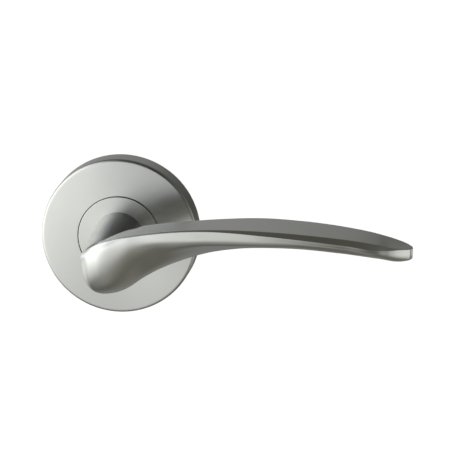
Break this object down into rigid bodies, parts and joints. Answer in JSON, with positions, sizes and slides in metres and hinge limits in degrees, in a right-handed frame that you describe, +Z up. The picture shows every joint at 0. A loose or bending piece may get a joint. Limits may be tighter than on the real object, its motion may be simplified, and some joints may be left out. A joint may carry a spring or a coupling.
{
  "type": "door lever handle",
  "caption": "Door lever handle on a round rose: a curved grip on a tapered neck, a push-on cover, a two-way return spring and a square spindle.",
  "frame": {"origin": "where the spindle's axis meets the door's face, at the centre of the mounting plate's back face", "axes": "+Y into the door along the spindle, +X along the grip towards its tip, +Z up"},
  "size_m": [0.1511, 0.1229, 0.0662],
  "materials": {
    "satin_plating": "satin",
    "cast_plate": "matte",
    "zinc_steel": "satin",
    "spring_steel": "satin",
    "black_steel": "satin",
    "nylon": "satin"
  },
  "bodies": {
    "mounting": {"mounting_plate": "cast_plate", "front_bush": "nylon", "rear_bush": "nylon", "bolt_pillar_left": "zinc_steel", "bolt_pillar_right": "zinc_steel", "spring_anchor_pin": "zinc_steel", "stop_pin_left": "zinc_steel", "stop_pin_right": "zinc_steel", "cover_clip_top": "nylon", "cover_clip_left": "nylon", "cover_clip_right": "nylon"},
    "lever": {"lever_handle": "satin_plating", "collar_disc": "satin_plating", "spring_rotor": "zinc_steel", "return_spring": "spring_steel", "thrust_washer": "zinc_steel", "cone_washer": "spring_steel", "retaining_ring": "spring_steel", "spindle": "zinc_steel", "grub_screw": "black_steel"},
    "cover": {"rose_cover": "satin_plating"}
  },
  "joints": [
    {"name": "lever_turn", "type": "hinge", "parent": "mounting", "child": "lever", "pos_m": [0, 0, 0], "axis": [0, 1, 0], "range_deg": [-45, 45], "stiffness_Nm_per_rad": 1.2, "springref_deg": -2.73, "deforming": ["return_spring"]},
    {"name": "cover_slide", "type": "slide", "parent": "mounting", "child": "cover", "axis": [0, -1, 0], "range_m": [0, 0.028]}
  ]
}
